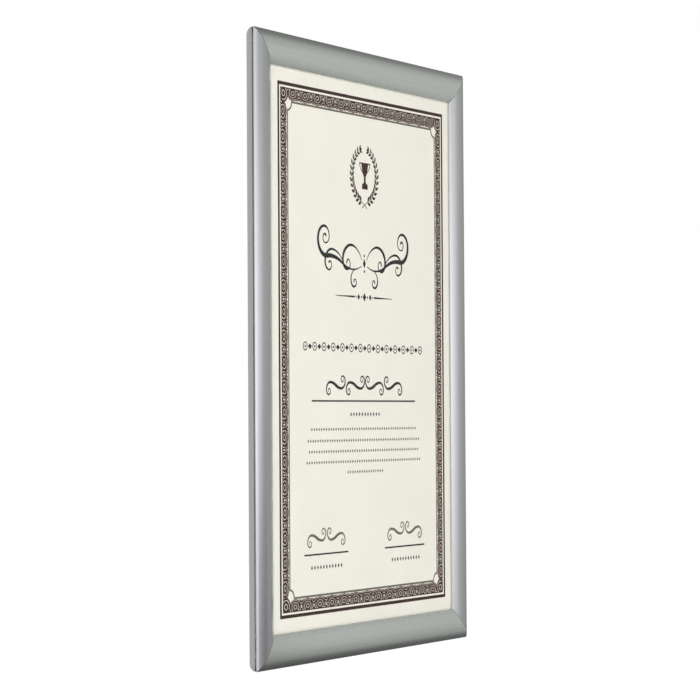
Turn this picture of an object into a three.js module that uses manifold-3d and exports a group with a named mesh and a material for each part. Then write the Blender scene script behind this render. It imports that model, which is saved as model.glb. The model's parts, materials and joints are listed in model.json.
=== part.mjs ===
// Wall-hung snap frame for an A3 sheet, portrait. Millimetres, +Z up, the wall is the plane y = 0 and the
// front faces -Y. Four fixed base rails are mitred and keyed into a rectangle. On each one a snap profile turns
// on a bead in a socket, and bowed leaf springs hold it shut or open.
//
// Every long piece is an extruded section. A section is drawn with x inward from the frame's outermost edge
// and y forward from the wall, and is then run along its rail.

import * as THREE from "three";
import { mergeVertices } from "three/addons/utils/BufferGeometryUtils.js";
import Module from "manifold-3d";

const wasm = await Module();
wasm.setup();

const degrees = THREE.MathUtils.degToRad;

// The sheets, front to back: clear cover, print, back panel
const SHEET_WIDTH = 297;
const SHEET_HEIGHT = 420;
const COVER_THICKNESS = 0.5;
const PRINT_THICKNESS = 0.25;
const PANEL_THICKNESS = 1.5;
const SHEET_PLAY = 0.5; // from a sheet's edge to the rail beside it
const SHEET_GAP = 0.05; // from one sheet to the next

// Base rail
const FLOOR = 1.3;
const WEB = 1.2; // wall between the key channel and the sheets
const RIB = 1.2; // wall on the channel's other side
const CHANNEL_FROM_EDGE = 7.2;
const CHANNEL_LIP = 1.0; // thickness of the lips over the key
const LIP_REACH = 1.1; // how far each lip overhangs the key
const SHELF = 1.2; // thickness of the ledge behind the panel
const SHELF_HEIGHT = 6.0;
const SHELF_REACH = 8.3;
const OUTER_WALL = 1.2;
const SIDE_SLANT = degrees(21.5); // the outer wall's lean inwards, away from the hinge
const FOOT_START = 6.45; // where the slanted side turns into its round foot, above the wall
const FOOT_RADIUS = 11;

// Hinge of the snap profile
const EDGE_TO_AXIS = 2.45;
const BEAD_RADIUS = 0.9;
const BEAD_PLAY = 0.25;
const SOCKET_WALL = 0.9;
const NECK = 0.8;
const NECK_ANGLE = degrees(62); // the way the neck leaves the bead, from the section's x
const OPENING = degrees(70);

// Snap profile
const SNAP_WALL = 1.1;
const EDGE_RISE = 1.8; // outer edge above the hinge axis
const SHOULDER_RADIUS = 10.5;
const CROWN_RADIUS = 28.6;
const CROWN_FROM_EDGE = 10.3; // where the crown is highest
const OVERLAP = 9; // how far the lip reaches over the sheets' pocket
const LIP_EDGE = 0.86; // the lip's end, from the crown down to the nose
const LIP_ROUND = 0.55;
const NOSE = 1.1;
const LEG = 0.9;

// Leaf springs and their seats
const SPRING_THICKNESS = 0.4;
const SPRING_WIDTH = 30; // along the rail
const SPRING_BOW = 0.8;
const SPRING_PLAY = 0.35;
const SEAT_ARM = 4.17; // from the hinge axis to the seat in the leg
const SEAT_ANGLE = degrees(30.3); // that arm's dip below the section's x
const SEAT_JAW = 0.4; // metal beyond a seat
const SEAT_PROUD = 0.3; // the web's seat stands this far off its face
const SIDE_SPRING_SPACING = 140;
const END_SPRING_SPACING = 150;

// Corner keys and their set screws
const KEY_WIDTH = 6.1;
const KEY_THICKNESS = 1.8;
const KEY_PLAY = 0.25;
const KEY_LEG = 42; // from the frame's corner to a leg's end
const KEY_SCREW_FROM_CORNER = 30;
const KEY_CHAMFER = 1.5;
const SCREW_DIAMETER = 3.4;
const SCREW_LENGTH = 2.8;
const SCREW_PLAY = 0.3;
const SCREW_POINT = 0.5; // chamfer at its lower end
const SOCKET_ACROSS_FLATS = 2;
const SOCKET_DEPTH = 1.4;

// Wall screw holes in the end rails
const WALL_HOLE_DIAMETER = 4.2;
const HEAD_HOLE_DIAMETER = 6.4; // passes the screw's head between the lips
const WALL_HOLE_FROM_CORNER = 60;

// Between pieces that meet
const RUNNING_GAP = 0.3;
const MITRE_GAP = 0.3;
const REST_GAP = 0.25;

const CHORD_ERROR = 0.004; // how far a facet may lie inside its arc

// Sizes that follow from the ones above
const channelWidth = KEY_WIDTH + 2 * KEY_PLAY;
const channelMiddle = CHANNEL_FROM_EDGE + channelWidth / 2;
const channelCeiling = FLOOR + KEY_THICKNESS + 2 * KEY_PLAY;
const channelTop = channelCeiling + CHANNEL_LIP;
const webFace = CHANNEL_FROM_EDGE + channelWidth;
const pocketFace = webFace + WEB;
const frameWidth = SHEET_WIDTH + 2 * (SHEET_PLAY + pocketFace);
const frameHeight = SHEET_HEIGHT + 2 * (SHEET_PLAY + pocketFace);

const panelBack = SHELF_HEIGHT + REST_GAP;
const printBack = panelBack + PANEL_THICKNESS + SHEET_GAP;
const coverBack = printBack + PRINT_THICKNESS + SHEET_GAP;
const coverFront = coverBack + COVER_THICKNESS;

const socketBore = BEAD_RADIUS + BEAD_PLAY;
const socketOutside = socketBore + SOCKET_WALL;
const knuckle = socketOutside + RUNNING_GAP; // nothing but the neck comes nearer to the axis
const seatRadius = SPRING_THICKNESS / 2 + SPRING_PLAY;
const legFoot = channelTop + RUNNING_GAP;
const legSeat = new THREE.Vector2(
  EDGE_TO_AXIS + SEAT_ARM * Math.cos(SEAT_ANGLE),
  legFoot + SEAT_JAW + seatRadius,
);
const axis = new THREE.Vector2(EDGE_TO_AXIS, legSeat.y + SEAT_ARM * Math.sin(SEAT_ANGLE));

// The springs stand in line with the hinge axis at half opening, so they push shut before it and open after it
const webSeatX = webFace - SEAT_PROUD;
const webSeat = new THREE.Vector2(
  webSeatX,
  axis.y + (webSeatX - axis.x) * Math.tan(OPENING / 2 - SEAT_ANGLE),
);
const webTop = webSeat.y + seatRadius + SEAT_JAW;

// Half the angle that the neck and its clearance take up in the socket's mouth
const mouthMargin = Math.asin(NECK / 2 / socketBore) + RUNNING_GAP / socketBore;
const mouthInner = NECK_ANGLE - mouthMargin;
const mouthOuter = NECK_ANGLE + OPENING + mouthMargin;

const lipX = pocketFace + OVERLAP;
const noseBottom = coverFront + REST_GAP;
const lipHeight = noseBottom + LIP_EDGE;
const crownCentre = new THREE.Vector2(
  CROWN_FROM_EDGE,
  lipHeight - Math.sqrt(CROWN_RADIUS ** 2 - (lipX - CROWN_FROM_EDGE) ** 2),
);

/** The point at a distance and an angle from a centre. */
function polar(centre, radius, angle) {
  return new THREE.Vector2(centre.x + radius * Math.cos(angle), centre.y + radius * Math.sin(angle));
}

/** Points along an arc, both ends included, close enough together for CHORD_ERROR. */
function arc(centre, radius, from, to) {
  const step = 2 * Math.acos(1 - CHORD_ERROR / radius);
  const count = Math.max(2, Math.ceil(Math.abs(to - from) / step));
  const points = [];
  for (let i = 0; i <= count; i++) {
    points.push(polar(centre, radius, from + ((to - from) * i) / count));
  }
  return points;
}

/** The angle at which a point is seen from a centre, from 0 to a full turn. */
function bearing(centre, point) {
  const angle = Math.atan2(point.y - centre.y, point.x - centre.x);
  return angle < 0 ? angle + 2 * Math.PI : angle;
}

/** Height at which a circle's upper or lower half crosses a given x. */
function heightOn(centre, radius, x, half) {
  return centre.y + half * Math.sqrt(radius ** 2 - (x - centre.x) ** 2);
}

/** Section of a base rail, counter-clockwise from the socket's outer lip. */
function baseSection() {
  // The outer wall leaves the socket at a tangent, slants down straight and ends in the rounded foot
  const facing = Math.PI + SIDE_SLANT;
  const sideTop = polar(axis, socketOutside, facing);
  const sideDrop = (sideTop.y - FOOT_START) / Math.cos(SIDE_SLANT);
  const sideEnd = polar(sideTop, sideDrop, SIDE_SLANT - Math.PI / 2);
  const footCentre = polar(sideEnd, FOOT_RADIUS, SIDE_SLANT);
  const toFloor = Math.PI + Math.asin(footCentre.y / FOOT_RADIUS);

  // Its inner face runs from the rib up into the socket
  const innerRadius = FOOT_RADIUS - OUTER_WALL;
  const ribX = CHANNEL_FROM_EDGE - RIB;
  const ribBottom = new THREE.Vector2(ribX, heightOn(footCentre, innerRadius, ribX, -1));
  const wallMeetsSocket = facing + Math.acos((socketOutside - OUTER_WALL) / socketOutside);

  const shelfX = pocketFace + SHELF_REACH;
  const at = (x, y) => new THREE.Vector2(x, y);
  return [
    ...arc(axis, socketOutside, mouthOuter, facing),
    ...arc(footCentre, FOOT_RADIUS, facing, toFloor),
    at(pocketFace, 0),
    at(pocketFace, SHELF_HEIGHT - SHELF),
    at(shelfX, SHELF_HEIGHT - SHELF),
    at(shelfX, SHELF_HEIGHT),
    at(pocketFace, SHELF_HEIGHT),
    at(pocketFace, webTop),
    at(webSeat.x, webTop),
    ...arc(webSeat, seatRadius, Math.PI / 2, -Math.PI / 2),
    at(webSeat.x, webSeat.y - seatRadius - SEAT_JAW),
    at(webFace, webSeat.y - seatRadius - SEAT_JAW - SEAT_PROUD),
    at(webFace, channelTop),
    at(webFace - LIP_REACH, channelTop),
    at(webFace - LIP_REACH, channelCeiling),
    at(webFace, channelCeiling),
    at(webFace, FLOOR),
    at(CHANNEL_FROM_EDGE, FLOOR),
    at(CHANNEL_FROM_EDGE, channelCeiling),
    at(CHANNEL_FROM_EDGE + LIP_REACH, channelCeiling),
    at(CHANNEL_FROM_EDGE + LIP_REACH, channelTop),
    at(ribX, channelTop),
    ...arc(footCentre, innerRadius, bearing(footCentre, ribBottom), facing),
    ...arc(axis, socketOutside, wallMeetsSocket, mouthInner + 2 * Math.PI),
    ...arc(axis, socketBore, mouthInner + 2 * Math.PI, mouthOuter),
  ];
}

/** Section of the snap profile's curved cover, clockwise from its outer edge. */
function coverSection() {
  const edge = new THREE.Vector2(0, axis.y + EDGE_RISE);

  // The shoulder is one round from the edge that runs smoothly into the crown, so its centre lies its own radius
  // from the edge and the difference of both radii from the crown's centre
  const toCrown = crownCentre.clone().sub(edge);
  const span = toCrown.length();
  const reach = CROWN_RADIUS - SHOULDER_RADIUS;
  const swing = Math.acos((SHOULDER_RADIUS ** 2 + span ** 2 - reach ** 2) / (2 * SHOULDER_RADIUS * span));
  const shoulder = polar(edge, SHOULDER_RADIUS, toCrown.angle() + swing);
  const crownStart = bearing(crownCentre, shoulder);

  // The lip's round touches the crown and the end face
  const lipMiddleX = lipX - LIP_ROUND;
  const lipMiddle = new THREE.Vector2(lipMiddleX, heightOn(crownCentre, CROWN_RADIUS - LIP_ROUND, lipMiddleX, 1));
  const crownEnd = bearing(crownCentre, lipMiddle);

  // Underneath, the wall's thickness is kept as far as the knuckle, whose round follows the socket
  const inner = CROWN_RADIUS - SNAP_WALL;
  const noseX = lipX - NOSE;
  const noseTop = new THREE.Vector2(noseX, heightOn(crownCentre, inner, noseX, 1));
  const innerShoulder = SHOULDER_RADIUS - SNAP_WALL;
  const apart = shoulder.distanceTo(axis);
  const past = (innerShoulder ** 2 - apart ** 2 - knuckle ** 2) / (2 * apart * knuckle);
  const knuckleStart = bearing(shoulder, axis) - Math.acos(Math.min(1, past));
  const innerEnd = bearing(shoulder, polar(axis, knuckle, knuckleStart));
  return [
    ...arc(shoulder, SHOULDER_RADIUS, bearing(shoulder, edge), crownStart),
    ...arc(crownCentre, CROWN_RADIUS, crownStart, crownEnd).slice(1),
    ...arc(lipMiddle, LIP_ROUND, crownEnd, 0).slice(1),
    new THREE.Vector2(lipX, noseBottom),
    new THREE.Vector2(noseX, noseBottom),
    ...arc(crownCentre, inner, bearing(crownCentre, noseTop), crownStart),
    ...arc(shoulder, innerShoulder, crownStart, innerEnd).slice(1),
    ...arc(axis, knuckle, knuckleStart, bearing(axis, edge)).slice(1),
  ];
}

/** Section of the bead and the neck that carries it, the neck running half way into the cover. */
function beadSection() {
  const middle = CROWN_RADIUS - SNAP_WALL / 2;
  const offset = axis.clone().sub(crownCentre);
  const along = new THREE.Vector2(Math.cos(NECK_ANGLE), Math.sin(NECK_ANGLE));
  const half = offset.dot(along);
  const length = Math.sqrt(half ** 2 - offset.lengthSq() + middle ** 2) - half;
  const end = polar(axis, length, NECK_ANGLE);
  const waist = Math.asin(NECK / 2 / BEAD_RADIUS);
  return [
    ...arc(axis, BEAD_RADIUS, NECK_ANGLE + waist, NECK_ANGLE - waist + 2 * Math.PI),
    polar(end, NECK / 2, NECK_ANGLE - Math.PI / 2),
    polar(end, NECK / 2, NECK_ANGLE + Math.PI / 2),
  ];
}

/** Section of the snap profile's leg, whose foot holds the springs' outer ends. */
function legSection() {
  const outerX = axis.x + knuckle;
  const innerX = outerX + LEG;
  const top = heightOn(crownCentre, CROWN_RADIUS - SNAP_WALL / 2, outerX, 1);
  const jawTop = legSeat.y + seatRadius + SEAT_JAW;
  return [
    new THREE.Vector2(outerX, legFoot),
    new THREE.Vector2(legSeat.x, legFoot),
    ...arc(legSeat, seatRadius, 1.5 * Math.PI, 0.5 * Math.PI),
    new THREE.Vector2(legSeat.x, jawTop),
    new THREE.Vector2(innerX, jawTop + legSeat.x - innerX),
    new THREE.Vector2(innerX, top),
    new THREE.Vector2(outerX, top),
  ];
}

/** Section of a leaf spring, a strip bowed forward between the two seats. */
function springSection() {
  const chord = webSeat.clone().sub(legSeat);
  const length = chord.length();
  const radius = (length ** 2 / 4 + SPRING_BOW ** 2) / (2 * SPRING_BOW);
  const forward = chord.angle() + Math.PI / 2;
  const middle = legSeat.clone().add(webSeat).multiplyScalar(0.5);
  const centre = polar(middle, radius - SPRING_BOW, forward - Math.PI);
  const spread = Math.asin(length / 2 / radius) + SPRING_THICKNESS / 2 / radius;
  return [
    ...arc(centre, radius - SPRING_THICKNESS / 2, forward - spread, forward + spread),
    ...arc(centre, radius + SPRING_THICKNESS / 2, forward + spread, forward - spread),
  ];
}

/** A section run straight along its rail from one distance to another. */
function run(section, from, to) {
  const geometry = new THREE.ExtrudeGeometry(new THREE.Shape(section), { depth: to - from, bevelEnabled: false });
  return geometry.translate(0, 0, from);
}

/** A section run along a whole side and cut at 45 degrees, so its ends meet the next rails' ends. */
function mitred(section, length) {
  const geometry = run(section, 0, length);
  const points = geometry.attributes.position;
  const back = MITRE_GAP / Math.SQRT2;
  for (let i = 0; i < points.count; i++) {
    const inset = points.getX(i) + back;
    points.setZ(i, points.getZ(i) < length / 2 ? inset : length - inset);
  }
  return geometry;
}

/** A closed mesh as a solid that can be cut and joined. */
function solid(geometry) {
  geometry.deleteAttribute("normal");
  geometry.deleteAttribute("uv");
  const welded = mergeVertices(geometry);
  return new wasm.Manifold(
    new wasm.Mesh({
      numProp: 3,
      vertProperties: new Float32Array(welded.attributes.position.array),
      triVerts: new Uint32Array(welded.index.array),
    }),
  );
}

/** A solid back as a geometry. */
function geometryOf(body) {
  const mesh = body.getMesh();
  const geometry = new THREE.BufferGeometry();
  geometry.setAttribute("position", new THREE.BufferAttribute(mesh.vertProperties, 3));
  geometry.setIndex(new THREE.BufferAttribute(mesh.triVerts, 1));
  geometry.computeVertexNormals();
  return geometry;
}

/** An upright round cutter or pin in section axes, its axis running forward from the wall. */
function round(diameter, bottom, top, x, along) {
  const height = top - bottom;
  const facets = 32;
  const geometry = new THREE.CylinderGeometry(diameter / 2, diameter / 2, height, facets);
  return geometry.translate(x, bottom + height / 2, along);
}

// Section axes to rail axes: a rail runs along X, its section's x is up and its section's y is forward
const sectionToRail = new THREE.Matrix4().makeBasis(
  new THREE.Vector3(0, 0, 1),
  new THREE.Vector3(0, -1, 0),
  new THREE.Vector3(1, 0, 0),
);

/** A base rail, with wall screw holes where the side has them. */
function baseRail(length, holes) {
  let rail = solid(mitred(baseSection(), length));
  for (const along of holes) {
    rail = rail.subtract(solid(round(WALL_HOLE_DIAMETER, -FLOOR, 2 * FLOOR, channelMiddle, along)));
    rail = rail.subtract(
      solid(round(HEAD_HOLE_DIAMETER, channelCeiling - KEY_PLAY, channelTop + KEY_PLAY, channelMiddle, along)),
    );
  }
  return geometryOf(rail);
}

/** A snap profile. Its bead and leg stop short of the mitres, so one side opens without the next. */
function snapProfile(length) {
  const legSweep = Math.hypot(legSeat.x - axis.x, legFoot - axis.y);
  const relief = axis.x + legSweep + RUNNING_GAP;
  const cover = solid(mitred(coverSection().reverse(), length));
  const bead = solid(run(beadSection(), relief, length - relief));
  const leg = solid(run(legSection(), relief, length - relief));
  return geometryOf(cover.add(bead).add(leg));
}

/** A leaf spring centred at a distance along its rail. */
function leafSpring(along) {
  return run(springSection(), along - SPRING_WIDTH / 2, along + SPRING_WIDTH / 2);
}

/** The L-shaped key in a corner's two channels. Its own x and y are the two rails' section x. */
function cornerKey() {
  const outer = CHANNEL_FROM_EDGE + KEY_PLAY;
  const inner = outer + KEY_WIDTH;
  const outline = new THREE.Shape([
    new THREE.Vector2(outer + KEY_CHAMFER, outer),
    new THREE.Vector2(KEY_LEG, outer),
    new THREE.Vector2(KEY_LEG, inner),
    new THREE.Vector2(inner, inner),
    new THREE.Vector2(inner, KEY_LEG),
    new THREE.Vector2(outer, KEY_LEG),
    new THREE.Vector2(outer, outer + KEY_CHAMFER),
  ]);
  for (const [x, y] of keyScrewPlaces()) {
    const hole = new THREE.Path();
    hole.absarc(x, y, SCREW_DIAMETER / 2 + SCREW_PLAY, 0, 2 * Math.PI, true);
    outline.holes.push(hole);
  }
  const geometry = new THREE.ExtrudeGeometry(outline, { depth: KEY_THICKNESS, bevelEnabled: false });
  return geometry.translate(0, 0, FLOOR + KEY_PLAY);
}

/** Where a key's set screws stand, one in each leg. */
function keyScrewPlaces() {
  return [
    [KEY_SCREW_FROM_CORNER, channelMiddle],
    [channelMiddle, KEY_SCREW_FROM_CORNER],
  ];
}

/** A set screw that jacks the key against the channel's lips, with a hexagon socket in its top. */
function keyScrew() {
  const radius = SCREW_DIAMETER / 2;
  const profile = [
    new THREE.Vector2(0, 0),
    new THREE.Vector2(radius - SCREW_POINT, 0),
    new THREE.Vector2(radius, SCREW_POINT),
    new THREE.Vector2(radius, SCREW_LENGTH),
    new THREE.Vector2(0, SCREW_LENGTH),
  ];
  const facets = 24;
  const body = solid(new THREE.LatheGeometry(profile, facets));
  const sides = 6;
  const corner = SOCKET_ACROSS_FLATS / 2 / Math.cos(Math.PI / sides);
  const socket = new THREE.CylinderGeometry(corner, corner, 2 * SOCKET_DEPTH, sides);
  socket.translate(0, SCREW_LENGTH, 0);
  return geometryOf(body.subtract(solid(socket)));
}

/** A flat sheet of the insert, its back at a given distance from the wall. */
function sheet(thickness, back) {
  const geometry = new THREE.BoxGeometry(SHEET_WIDTH, thickness, SHEET_HEIGHT);
  return geometry.translate(0, -(back + thickness / 2), 0);
}

/** Spring places along a side, evenly about its middle. */
function springPlaces(length, spacing, count) {
  const places = [];
  for (let i = 0; i < count; i++) {
    places.push(length / 2 + (i - (count - 1) / 2) * spacing);
  }
  return places;
}

const anodised = { color: 0xb9bcc0, roughness: 0.38, metalness: 1 };
const millFinish = { color: 0xaeb0b3, roughness: 0.5, metalness: 1 };
const springSteel = { color: 0x8c8f94, roughness: 0.35, metalness: 1 };
const zincPlate = { color: 0x9a9da1, roughness: 0.45, metalness: 1 };
const blackSteel = { color: 0x2c2d2f, roughness: 0.5, metalness: 1 };
const whiteBoard = { color: 0xe9e9e6, roughness: 0.7, metalness: 0 };
const paper = { color: 0xeeece0, roughness: 0.85, metalness: 0 };
const clearSheet = { color: 0xf4f7f8, roughness: 0.25, metalness: 0, transparent: true, opacity: 0.2 };

/** A named piece with a material of its own. */
function piece(name, geometry, look) {
  const mesh = new THREE.Mesh(geometry, new THREE.MeshStandardMaterial(look));
  mesh.name = name;
  return mesh;
}

// The origin is on the wall face of the top rail, at the middle of its length
const frame = new THREE.Group();
const body = new THREE.Group();
body.position.z = channelMiddle - frameHeight / 2;
frame.add(body);

const sides = [
  { name: "bottom", corner: "bottom_left", upright: false, turn: 0 },
  { name: "right", corner: "bottom_right", upright: true, turn: -90 },
  { name: "top", corner: "top_right", upright: false, turn: 180 },
  { name: "left", corner: "top_left", upright: true, turn: 90 },
];

for (const side of sides) {
  const length = side.upright ? frameHeight : frameWidth;
  const across = side.upright ? frameWidth : frameHeight;
  const holes = side.upright ? [] : [WALL_HOLE_FROM_CORNER, length - WALL_HOLE_FROM_CORNER];
  const springs = side.upright
    ? springPlaces(length, SIDE_SPRING_SPACING, 3)
    : springPlaces(length, END_SPRING_SPACING, 2);

  // Each side's own axes start at the outer corner where its run begins
  const turned = new THREE.Group();
  turned.rotation.y = degrees(side.turn);
  body.add(turned);
  const rail = new THREE.Group();
  rail.applyMatrix4(sectionToRail);
  rail.position.set(-length / 2, 0, -across / 2);
  turned.add(rail);

  rail.add(piece(`base_rail_${side.name}`, baseRail(length, holes), millFinish));
  rail.add(piece(`snap_profile_${side.name}`, snapProfile(length), anodised));
  springs.forEach((along, i) => {
    rail.add(piece(`leaf_spring_${side.name}_${i + 1}`, leafSpring(along), springSteel));
  });

  // The key's flat outline turns up into the two channels, and its thickness runs forward from the wall
  const key = piece(`corner_key_${side.corner}`, cornerKey(), zincPlate);
  const corner = new THREE.Group();
  corner.rotation.x = Math.PI / 2;
  corner.position.set(-length / 2, 0, -across / 2);
  turned.add(corner);
  corner.add(key);
  keyScrewPlaces().forEach(([x, y], i) => {
    const screw = piece(`key_screw_${side.corner}_${i + 1}`, keyScrew(), blackSteel);
    screw.rotation.x = Math.PI / 2;
    screw.position.set(x, y, FLOOR + SCREW_PLAY);
    corner.add(screw);
  });
}

body.add(piece("back_panel", sheet(PANEL_THICKNESS, panelBack), whiteBoard));
body.add(piece("print_sheet", sheet(PRINT_THICKNESS, printBack), paper));
body.add(piece("clear_cover_sheet", sheet(COVER_THICKNESS, coverBack), clearSheet));

export default frame;
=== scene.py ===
import json
import math

import bmesh
import bpy
from mathutils import Matrix, Vector

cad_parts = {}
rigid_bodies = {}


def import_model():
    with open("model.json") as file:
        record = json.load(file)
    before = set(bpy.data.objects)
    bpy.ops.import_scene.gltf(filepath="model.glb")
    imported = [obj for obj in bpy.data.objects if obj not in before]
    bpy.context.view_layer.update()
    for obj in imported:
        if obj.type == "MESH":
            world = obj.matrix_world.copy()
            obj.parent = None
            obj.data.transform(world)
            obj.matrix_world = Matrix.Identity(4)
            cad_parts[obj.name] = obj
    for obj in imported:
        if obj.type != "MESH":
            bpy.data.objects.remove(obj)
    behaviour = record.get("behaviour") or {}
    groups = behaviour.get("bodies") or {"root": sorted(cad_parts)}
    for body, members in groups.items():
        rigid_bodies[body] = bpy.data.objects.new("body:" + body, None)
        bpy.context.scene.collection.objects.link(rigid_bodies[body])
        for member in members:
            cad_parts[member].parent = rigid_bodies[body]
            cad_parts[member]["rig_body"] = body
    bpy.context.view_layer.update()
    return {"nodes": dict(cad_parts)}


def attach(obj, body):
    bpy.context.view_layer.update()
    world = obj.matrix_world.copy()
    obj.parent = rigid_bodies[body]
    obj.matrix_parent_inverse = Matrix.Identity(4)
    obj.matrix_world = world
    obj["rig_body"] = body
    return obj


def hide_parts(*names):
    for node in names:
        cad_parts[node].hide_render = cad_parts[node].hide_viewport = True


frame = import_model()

mm = 0.001
middleZ = -0.215          # height of the frame's centre in its own frame
sheetFront = -8.05 * mm   # front of the print
xAxis, zAxis = 0, 2
print("frame loaded")


# small helpers
selectModes = {"verts": "VERT", "edges": "EDGE", "faces": "FACE"}


def startOn(piece):
    if bpy.context.mode != "OBJECT":
        bpy.ops.object.mode_set(mode="OBJECT")
    bpy.ops.object.select_all(action="DESELECT")
    bpy.context.view_layer.objects.active = piece
    piece.select_set(True)


def pick(piece, kind, test):
    # selects verts, edges or faces in edit mode by what the test says of each
    bpy.ops.mesh.select_mode(type=selectModes[kind])
    bpy.ops.mesh.select_all(action="DESELECT")
    shape = bmesh.from_edit_mesh(piece.data)
    for part in getattr(shape, kind):
        part.select_set(test(part))
    bmesh.update_edit_mesh(piece.data)


def joined(pieces, name):
    startOn(pieces[0])
    for piece in pieces[1:]:
        piece.select_set(True)
    if len(pieces) > 1:
        bpy.ops.object.join()
    whole = bpy.context.active_object
    bpy.ops.object.transform_apply(location=True, rotation=True, scale=True)
    whole.name = name
    whole.data.name = name
    return whole


def copied(piece, move=(0, 0, 0), turn=0, mirror=False, size=1.0):
    # its own mesh, sized, turned anticlockwise as seen from the front, then moved
    twin = piece.copy()
    twin.data = piece.data.copy()
    bpy.context.scene.collection.objects.link(twin)
    place = Matrix.Translation(Vector(move)) @ Matrix.Rotation(-turn, 4, "Y") @ Matrix.Scale(size, 4)
    if mirror:
        place = Matrix.Scale(-1, 4, (1, 0, 0)) @ place
    twin.data.transform(place)
    return twin


def placed(pieces, place):
    for piece in pieces:
        piece.data.transform(place)
    return pieces


# camera at the photograph's viewpoint
viewpoint = {
    "place": (-1.7792, -0.9743, -0.2617),
    "yaw": 61.18,
    "pitch": 1.372,
    "roll": -0.341,
    "lens": 138.73,
    "sensor": 36.0,
    "farthest": 60,
}
lensData = bpy.data.cameras.new("photo_camera")
lensData.lens = viewpoint["lens"]
lensData.sensor_width = viewpoint["sensor"]
lensData.clip_end = viewpoint["farthest"]
camera = bpy.data.objects.new("photo_camera", lensData)
bpy.context.scene.collection.objects.link(camera)
camera.matrix_world = (
    Matrix.Translation(viewpoint["place"])
    @ Matrix.Rotation(math.radians(-viewpoint["yaw"]), 4, "Z")
    @ Matrix.Rotation(math.radians(90 + viewpoint["pitch"]), 4, "X")
    @ Matrix.Rotation(math.radians(viewpoint["roll"]), 4, "Z")
)
bpy.context.scene.camera = camera
bpy.context.scene.view_settings.view_transform = "Standard"
print("camera placed")


# studio
studio = {
    "fill": 0.22,             # what the world gives matt surfaces
    "backdrop": 1.0,          # what the camera, glossy and transmitted rays see of the world
    "floorHeight": -1.715,    # the frame's centre hangs 1.5 m above the floor
    "floorSize": 40.0,
    "floorShade": (0.9, 0.9, 0.9),
    "floorGlow": 0.84,        # added to the floor for the camera and glossy rays only
}
lamps = {
    "key_softbox": {"place": (-6.6, -3.8, 0.3), "size": (3.8, 4.2), "watts": 670},
    "front_softbox": {"place": (-1.2, -3.2, 0.2), "size": (2.0, 2.6), "watts": 15},
    "back_softbox": {"place": (0.6, 3.2, 0.3), "size": (2.6, 2.6), "watts": 68},
}
# cards that only the metal and the clear sheet see; shades run along the card and up it
evenShade = [(0, 1), (1, 1)]
cards = {
    "front_glow": {
        "place": (-1.4, -3.6, -0.05), "size": (6.2, 3.4), "tilt": 90, "turn": 0,
        "tint": (1, 1, 1.02), "glow": 1.9,
        "along": [(0, 0.55), (0.24, 0.8), (0.39, 1), (0.54, 0.97), (0.66, 0.93), (0.77, 0.945),
                  (0.825, 0.94), (0.875, 0.86), (0.918, 0.785), (0.963, 0.67), (1, 0.58)],
        "up": [(0, 0.27), (0.26, 0.36), (0.33, 0.56), (0.37, 0.75), (0.47, 1), (0.535, 0.9),
               (0.6, 0.66), (0.66, 0.41), (1, 0.27)],
    },
    "right_flag": {
        "place": (1.7, -0.3, -0.05), "size": (6.6, 3.4), "tilt": 90, "turn": 90,
        "tint": (1, 1.03, 0.985), "glow": 1.12,
        "along": [(0, 1), (0.045, 0.95), (0.124, 0.77), (0.186, 0.64), (0.247, 0.55), (0.3, 0.475),
                  (0.38, 0.41), (0.425, 0.405), (0.5, 0.315), (0.6, 0.25), (1, 0.24)],
        "up": [(0, 0.22), (0.1, 0.225), (0.15, 0.3), (0.2, 0.415), (0.3, 0.73), (0.35, 0.865),
               (0.4, 0.94), (0.5, 0.985), (0.56, 1), (0.6, 0.965), (0.667, 0.805), (0.72, 0.725),
               (0.78, 0.57), (0.85, 0.48), (1, 0.375)],
    },
    "left_flag": {
        "place": (-1.9, 0.55, -0.05), "size": (2.9, 3.4), "tilt": 90, "turn": 90,
        "tint": (1, 1.04, 1), "glow": 0.5, "along": evenShade, "up": evenShade,
    },
    "back_flag": {
        "place": (-0.2, 2.0, -0.05), "size": (3.4, 3.4), "tilt": 90, "turn": 0,
        "tint": (1, 1.04, 1), "glow": 0.52, "along": evenShade, "up": evenShade,
    },
    "high_flag": {
        "place": (1.0, 0, 1.66), "size": (6.0, 7.2), "tilt": 0, "turn": 0,
        "tint": (1, 1.03, 1.02), "glow": 0.15, "along": evenShade, "up": evenShade,
    },
    "low_flag": {
        "place": (1.0, 0, -1.7), "size": (6.0, 7.2), "tilt": 0, "turn": 0,
        "tint": (1, 1, 1), "glow": 0.5,
        "along": [(0, 1), (0.36, 1), (0.45, 0.12), (1, 0.12)], "up": evenShade,
    },
}
# a thin grey scrim close before the left side, which lets part of the light through
scrim = {
    "place": (-0.07, -0.15, -0.215), "size": (0.26, 0.6), "tilt": 90, "turn": 0,
    "along": [(0, 1), (0.05, 0.83), (0.104, 0.72), (0.16, 0.68), (0.24, 0.65), (0.4, 0.68),
              (0.47, 0.73), (0.546, 0.87), (0.64, 0.92), (0.73, 0.9), (1, 0.94)],
    "up": [(0, 0.5), (0.15, 0.6), (0.233, 0.69), (0.37, 0.86), (0.5, 0.96), (0.625, 1), (1, 1)],
}


def addNode(tree, kind, **values):
    node = tree.nodes.new(kind)
    for key, value in values.items():
        setattr(node, key, value)
    return node


def addMath(tree, operation, *values, clamp=False):
    # each value is a number or another node's output
    node = addNode(tree, "ShaderNodeMath", operation=operation, use_clamp=clamp)
    for socket, value in zip(node.inputs, values):
        if isinstance(value, (int, float)):
            socket.default_value = value
        else:
            tree.links.new(value, socket)
    return node.outputs[0]


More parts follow.
